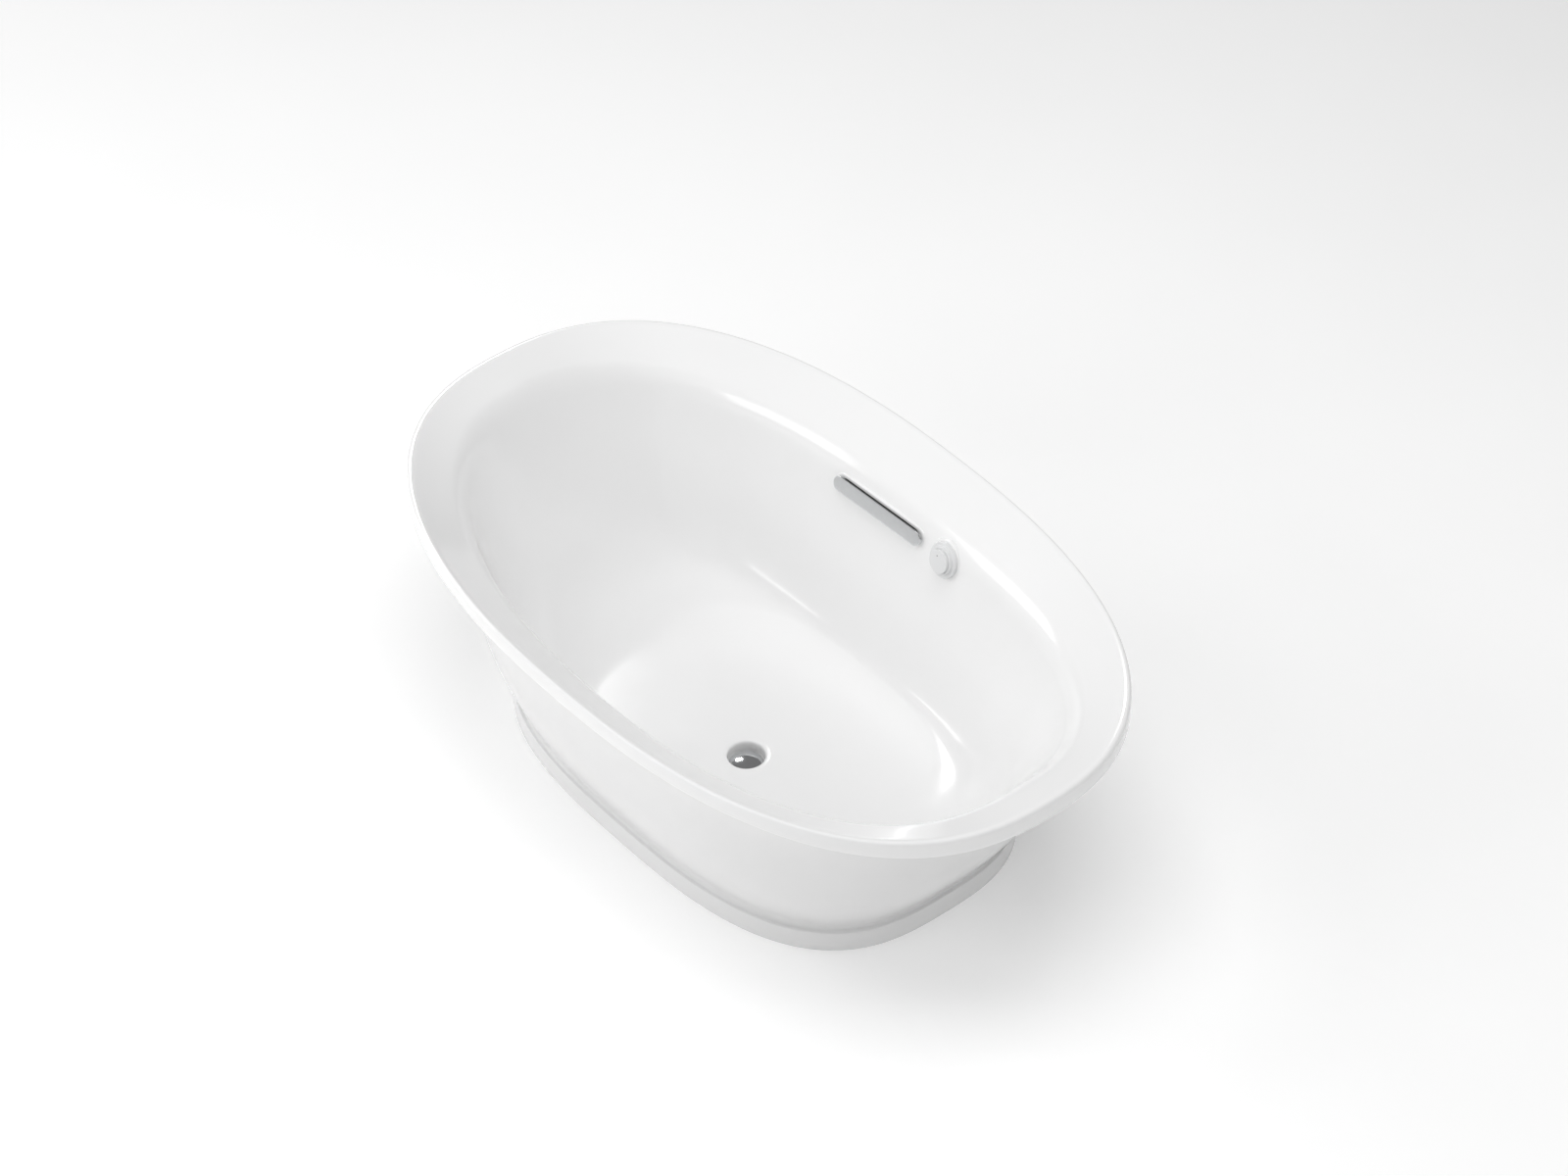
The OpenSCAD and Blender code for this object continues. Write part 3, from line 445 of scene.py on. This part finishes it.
OVERFLOW = on_wall(-93.0, HEIGHT - 134, 4.395, 125.0)
CONTROL = on_wall(102.0, HEIGHT - 134, 1.025, 37.0)


def cut(target, name, build):
    """Takes a shape out of a mesh for good."""
    bm = bmesh.new()
    build(bm)
    tool = link(name, bm, None)
    mod = target.modifiers.new("cut", "BOOLEAN")
    mod.object, mod.operation, mod.solver = tool, "DIFFERENCE", "EXACT"
    bpy.context.view_layer.update()
    shaped = bpy.data.meshes.new_from_object(target.evaluated_get(bpy.context.evaluated_depsgraph_get()))
    target.modifiers.clear()
    old = target.data
    target.data = shaped
    bpy.data.meshes.remove(old)
    bpy.data.objects.remove(tool)


def pill_block(bm, length, height, low, high, place):
    outline = pill_outline(length, height)
    cap_ends(bm, add_rings(bm, [lifted(outline, z) for z in (low, high)], place=place))


def disc_block(bm, radius, low, high, place, steps=48):
    cap_ends(bm, add_rings(bm, [circle(radius, z, steps) for z in (low, high)], place=place))


basin = make_basin()
cut(basin, "slot_cutter", lambda bm: pill_block(bm, SLOT_LENGTH, SLOT_HEIGHT, -30, 30, OVERFLOW))
cut(basin, "hole_cutter", lambda bm: disc_block(bm, BARREL_R + 0.5, -30, 30, CONTROL))
for poly in basin.data.polygons:
    poly.use_smooth = True
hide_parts("basin_shell")
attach(basin, "tub")


# ---------------------------------------------------------------- the shroud
def make_shroud():
    foot = (544.0, 352.0, 2.85, SHROUD_FOOT_Z, SHROUD_FOOT_Z)
    neck = (762.1, 480.1, 2.38, HEIGHT - LIP, HEIGHT - LIP)
    flange = (LENGTH / 2 - 12, WIDTH / 2 - 12, 2.38, HEIGHT - LIP, HEIGHT - LIP)

    def flare(t):
        m, bow = mix(foot, neck, t), math.sin(2 * math.pi * t)
        return (m[0] + END_BOW * bow, m[1] + SIDE_BOW * bow, m[2], m[3], m[4])

    def plinth(inset, z):
        return (556.0 - inset, 364.0 - inset, 2.85, z, z)

    band = [(22, 0), (12, 0), (2, 0), (0.5, 0.5), (0, 2), (0, 16), (0, 30)]
    rings = [plinth(inset, z) for inset, z in band]
    rings += bend(plinth(0, 44), plinth(0, 48), plinth(3, 48.6), 6)
    rings += bend(plinth(4, 48.9), (544.6, 352.6, 2.85, 50.0, 50.0), flare(0.045), 12)
    rings += [flare(0.95 * i / 40) for i in range(3, 41)]
    rings += bend(flare(0.965), neck, mix(neck, flange, 0.35), 10)
    rings += [mix(neck, flange, k) for k in (0.55, 0.8)] + [flange]
    back = offset_rings(rings, SHROUD_WALL)[::2]
    bm = bmesh.new()
    add_rings(bm, oval_rings(rings + list(reversed(back))), closed=True)
    return link("shroud", bm, M_SHROUD, 50.0)


shroud = make_shroud()
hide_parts("outer_shroud")
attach(shroud, "tub")


def make_seal():
    low = HEIGHT - LIP + 1
    outer = (LENGTH / 2 - 8.1, WIDTH / 2 - 8.1, 2.38)
    inner = (LENGTH / 2 - 11.9, WIDTH / 2 - 11.9, 2.38)
    mid = ((outer[0] + inner[0]) / 2, (outer[1] + inner[1]) / 2, 2.38)
    rings = [(*inner, low, low), (*mid, low + 0.9, low + 0.9), (*outer, low, low),
             (*outer, low + 4, low + 4), (*inner, low + 4, low + 4)]
    bm = bmesh.new()
    add_rings(bm, oval_rings(rings), closed=True)
    return link("seal", bm, M_SEAL, 50.0)


seal = make_seal()
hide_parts("rim_seal")
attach(seal, "tub")


# ---------------------------------------------------------------- waste and stopper
def at_drain(z):
    return Matrix.Translation(Vector((DRAIN[0], DRAIN[1], z)) * MM)


flange_low, flange_top = WELL_FLOOR + 0.2, WELL_FLOOR + FLANGE_THICK
cap_low = flange_top + 2.4

flange_profile = fillet([(BORE_R, 30), (BORE_R + 4, 30), (BORE_R + 4, flange_low), (FLANGE_R, flange_low),
                         (FLANGE_R, flange_top), (24.6, flange_top), (BORE_R, flange_top - 3), (BORE_R, 30)],
                        [0, 0.4, 0.3, 0.3, 1.1, 1.2, 1.0, 0], 5)
waste = lathe("waste_flange_ring", flange_profile, at_drain(0), M_CHROME, 128)
bm = bmesh.new()
for turn in (0, 90):
    arm = bmesh.ops.create_cube(bm, size=1.0)["verts"]
    bmesh.ops.scale(bm, vec=(0.0405, 0.003, 0.006), verts=arm)
    bmesh.ops.rotate(bm, matrix=Matrix.Rotation(math.radians(turn), 3, "Z"), verts=arm)
bmesh.ops.translate(bm, vec=Vector((DRAIN[0], DRAIN[1], 37)) * MM, verts=bm.verts)
bmesh.ops.bevel(bm, geom=list(bm.edges), offset=0.0006, segments=2, affect="EDGES")
spider = link("waste_cross", bm, M_CHROME)
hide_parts("waste_flange")
for piece in (waste, spider):
    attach(piece, "tub")

sphere_r = (DOME_R ** 2 + DOME_RISE ** 2) / (2 * DOME_RISE)
dome_steps = [(DOME_R - 0.6) * math.sin(k / 14 * math.pi / 2) for k in range(15)]
dome = [(q, CAP_RIM + DOME_RISE - sphere_r + math.sqrt(sphere_r ** 2 - q * q)) for q in dome_steps]
cap_profile = [(0, -23)] + fillet([(0, -23), (STEM_R, -23), (STEM_R, 0), (28, 0), (29, 0.35), (DOME_R, 0.35),
                                   (DOME_R, CAP_RIM), dome[-1]],
                                  [0, 0.8, 1.0, 0.2, 0.2, 0.5, 0.8, 0], 4)[1:] + dome[::-1][1:]
cap = lathe("stopper_dome", cap_profile, at_drain(cap_low), M_CHROME, 128, smooth=60.0)
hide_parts("stopper_cap")
ring = lathe("stopper_seal_ring", fillet([(26.9, 0.3), (29.3, 0.3), (29.3, 2.3), (26.9, 2.3), (26.9, 0.3)],
                                         [0, 0.9, 0.9, 0.3, 0], 5), at_drain(flange_top), M_RUBBER, 128)
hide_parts("stopper_seal")
for piece in (cap, ring):
    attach(piece, "stopper")


# ---------------------------------------------------------------- overflow cover
def make_cover():
    stand, skin = COVER_STAND, COVER_SKIN
    bm = bmesh.new()
    # The face plate: a thin pill with a rounded edge.
    under = stand - skin
    layers = [(under, 3.2), (under, 1.2), (under + 0.15, 0.45), (under + 0.5, 0.12), (stand - 1.0, 0.0),
              (stand - 0.55, 0.12), (stand - 0.2, 0.45), (stand, 1.1), (stand + 0.05, 4.0)]
    loops = [lifted(pill_outline(COVER_LENGTH, COVER_HEIGHT, inset, 32, 24), z) for z, inset in layers]
    cap_ends(bm, add_rings(bm, loops, place=OVERFLOW))
    # The skirt below and at the ends, left open along the top.
    outline = pill_outline(COVER_LENGTH, COVER_HEIGHT, 0.0, 32, 24)
    inner = pill_outline(COVER_LENGTH, COVER_HEIGHT, skin, 32, 24)
    skirt_top = 4.0
    keep = [i for i, (x, y) in enumerate(outline) if y <= skirt_top]
    start = min(keep, key=lambda i: outline[i][0] if outline[i][1] > 0 else 1e9)
    order = [(start + i) % len(outline) for i in range(len(outline))]
    order = [i for i in order if outline[i][1] <= skirt_top]
    strips = []
    for i in order:
        (x0, y0), (x1, y1) = outline[i], inner[i]
        strips.append([bm.verts.new(OVERFLOW @ (Vector(p) * MM)) for p in
                       ((x0, y0, -3.0), (x0, y0, stand - 1.0), (x1, y1, stand - 1.2), (x1, y1, -3.0))])
    for a, b in zip(strips, strips[1:]):
        for k in range(4):
            n = (k + 1) % 4
            bm.faces.new((a[k], b[k], b[n], a[n]))
    bm.faces.new(strips[0])
    bm.faces.new(list(reversed(strips[-1])))
    for side in (-1, 1):
        place = OVERFLOW @ Matrix.Translation(Vector((side * SCREW_REACH, 0, 0)) * MM)
        disc_block(bm, SCREW_R, -45.0, 7.5, place, 32)
    return link("overflow_plate", bm, M_CHROME, 35.0)


def make_overflow_seat():
    """The raised land the cover stands on, open at the slot."""
    bm = bmesh.new()
    length, height = COVER_LENGTH + SEAT_MARGIN, COVER_HEIGHT + SEAT_MARGIN
    brow = [(-2.5, -6.5), (-1.2, -4.2), (-0.4, -2.4), (0.0, -0.9), (0.3, -0.25), (1.0, 0.0)]
    slot = [(-0.6, 0.0), (0.0, -0.6), (0.0, -9.0)]
    rows = [lifted(pill_outline(length, height, inset, 32, 24), z) for inset, z in brow]
    rows += [lifted(pill_outline(SLOT_LENGTH, SLOT_HEIGHT, inset, 32, 24), z) for inset, z in slot]
    rows.append(lifted(pill_outline(length, height, brow[0][0], 32, 24), -9.0))
    add_rings(bm, rows, closed=True, place=OVERFLOW)
    return link("overflow_seat", bm, M_BASIN, 50.0)


overflow_seat = make_overflow_seat()
seat_hole = BARREL_R + 0.5
seat_profile = fillet([(seat_hole, -8), (43.5, -8), (42, -1.5), (40.5, 0), (seat_hole, 0), (seat_hole, -8)],
                      [0, 0, 1.5, 1.5, 0.3, 0], 6)
control_seat = lathe("control_seat", seat_profile, CONTROL, M_BASIN, 160)
for piece in (overflow_seat, control_seat):
    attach(piece, "tub")
cover = make_cover()
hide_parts("overflow_cover")
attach(cover, "tub")


# ---------------------------------------------------------------- push control
guide_r, pocket_r, spring_r = STEM_R + 0.05, CAP_R + 0.3, 8.6
bezel_profile = fillet([(guide_r, BARREL_LOW), (BARREL_R, BARREL_LOW), (BARREL_R, 0.2), (BEZEL_R, 0.2),
                        (BEZEL_R, 8), (30, 8), (30, 14), (pocket_r, 14), (pocket_r, 6), (spring_r, 6),
                        (spring_r, -2), (guide_r, -2), (guide_r, BARREL_LOW)],
                       [0, 0.8, 0.5, 0.4, 2.2, 1.2, 1.8, 0.7, 0.4, 0.4, 0.3, 0.3, 0], 6)
bezel = lathe("control_surround", bezel_profile, CONTROL, M_PLASTIC_WHITE, 160)
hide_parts("control_bezel")
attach(bezel, "tub")
face = [(CAP_R * k / 12, 20 - 0.5 * (k / 12) ** 2) for k in range(12)]
button_profile = [(0, STEM_LOW)] + fillet([(0, STEM_LOW), (STEM_R, STEM_LOW), (STEM_R, 9.7), (CAP_R, 9.7),
                                           (CAP_R, CAP_FACE), face[-1]],
                                          [0, 0.6, 0.6, 0.5, 1.8, 0], 6)[1:] + face[::-1][1:]
button = lathe("control_button", button_profile, CONTROL, M_PLASTIC_WHITE, 160)
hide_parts("control_cap")
dot = lathe("control_dot", fillet([(0, 19.2), (1.5, 19.2), (1.5, 20.1), (0, 20.25)], 0.3, 4),
            CONTROL @ Matrix.Translation(Vector((-5.0, 11.0, 0)) * MM), M_GREY, 40)
for piece in (button, dot):
    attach(piece, "push_cap")


def coil(name, radius, wire, low, rise, turns, place, material):
    pts = []
    steps = turns * 40
    for i in range(steps + 1):
        a = 2 * math.pi * turns * i / steps
        p = Vector((radius * math.cos(a), radius * math.sin(a), low + rise * i / steps))
        pts.append(place @ (p * MM) / MM)
    return sweep(name, pts, wire, material)


spring = coil("return_spring", 6.6, 1.0, -1.4, 10.4, 4, CONTROL, M_SPRING)
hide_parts("control_spring")
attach(spring, "tub")
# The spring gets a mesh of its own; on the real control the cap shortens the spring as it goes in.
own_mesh(spring)

# ---------------------------------------------------------------- CAD nodes that stay, with their finishes
finishes = {
    "zinc_steel": M_ZINC, "plywood": M_PLY, "black_rubber": M_RUBBER, "black_plastic": M_BLACK,
    "grey_plastic": M_GREY, "brass": M_BRASS, "silicone_pad": M_HEAT, "polished_chrome": M_CHROME,
    "white_plastic": M_PLASTIC_WHITE, "spring_steel": M_SPRING, "sealant": M_SEAL,
    "acrylic": M_BASIN, "shroud_acrylic": M_SHROUD,
}
slots = {part["node"]: part["material_slot"] for part in frame["record"]["subparts"]}
for name, obj in frame["nodes"].items():
    material = M_CABLE if "cable" in name else finishes[slots[name]]
    if not obj.data.materials:
        obj.data.materials.append(material)
    for index in range(len(obj.data.materials)):
        obj.data.materials[index] = material

# ---------------------------------------------------------------- stage, light and camera
floor_mat = Nodes("studio_floor")
floor_mat.set(Specular_IOR_Level=0.0, Roughness=1.0)
floor_mat.set(Emission_Color=(1.0, 1.0, 1.0, 1.0), Emission_Strength=0.16)
floor_tones = [(0.4, (0.96, 0.96, 0.96)), (0.6, (0.97, 0.97, 0.97))]
floor_mat.use(Base_Color=floor_mat.ramp(floor_mat.noise(1.5, 2.0), floor_tones))
bm = bmesh.new()
bmesh.ops.create_grid(bm, x_segments=2, y_segments=2, size=14.0)
stage = link("stage_floor", bm, floor_mat.mat)
stage.location = (0, 0, -0.0004)

world = bpy.data.worlds.new("studio")
world.use_nodes = True
world.node_tree.nodes["Background"].inputs[0].default_value = (1.0, 1.0, 1.0, 1.0)
world.node_tree.nodes["Background"].inputs[1].default_value = 0.2
scene = bpy.context.scene
scene.world = world
scene.view_settings.view_transform = "Standard"
scene.view_settings.look = "None"
# Light goes back and forth many times inside a white basin.
scene.cycles.max_bounces = 16
scene.cycles.diffuse_bounces = 12


def softbox(name, place, target, size, watts):
    data = bpy.data.lights.new(name, "AREA")
    data.shape, data.size, data.size_y, data.energy = "RECTANGLE", size[0], size[1], watts
    obj = bpy.data.objects.new(name, data)
    obj.location = place
    obj.rotation_euler = (Vector(target) - Vector(place)).to_track_quat("-Z", "Y").to_euler()
    scene.collection.objects.link(obj)
    return obj


middle = (0.0, 0.0, 0.3)
softbox("key_left", (-3.6, -2.6, 4.2), middle, (2.6, 2.6), 42.0).visible_glossy = False
softbox("overhead", (0.2, 0.2, 5.5), middle, (4.0, 4.0), 146.0).visible_glossy = False
softbox("right", (4.6, 0.8, 3.8), middle, (3.0, 3.0), 40.0).visible_glossy = False
softbox("low_left", (-4.8, -3.2, 2.2), middle, (2.5, 2.0), 60.0)
softbox("front_left", (-1.4, -5.2, 3.0), middle, (3.0, 2.0), 60.0)
softbox("front_right", (2.6, -4.2, 4.0), middle, (3.0, 2.5), 34.0).visible_glossy = False
# A small bright panel that only shows as a highlight.
softbox("glint", (-3.4, 1.6, 3.4), (0.03, -0.07, 0.06), (0.7, 0.5), 60.0).visible_diffuse = False

camera_data = bpy.data.cameras.new("camera")
camera_data.lens = 127.9
camera_data.sensor_width = 36.0
camera_data.clip_end = 100.0
camera = bpy.data.objects.new("camera", camera_data)
target = Vector((-0.106, 0.145, 0.300))
azimuth, elevation, distance = math.radians(50.22), math.radians(42.40), 11.0
level = math.cos(elevation)
back = Vector((math.sin(azimuth) * level, -math.cos(azimuth) * level, math.sin(elevation)))
camera.location = target + back * distance
camera.rotation_euler = (-back).to_track_quat("-Z", "Y").to_euler()
scene.collection.objects.link(camera)
scene.camera = camera

bpy.context.view_layer.update()
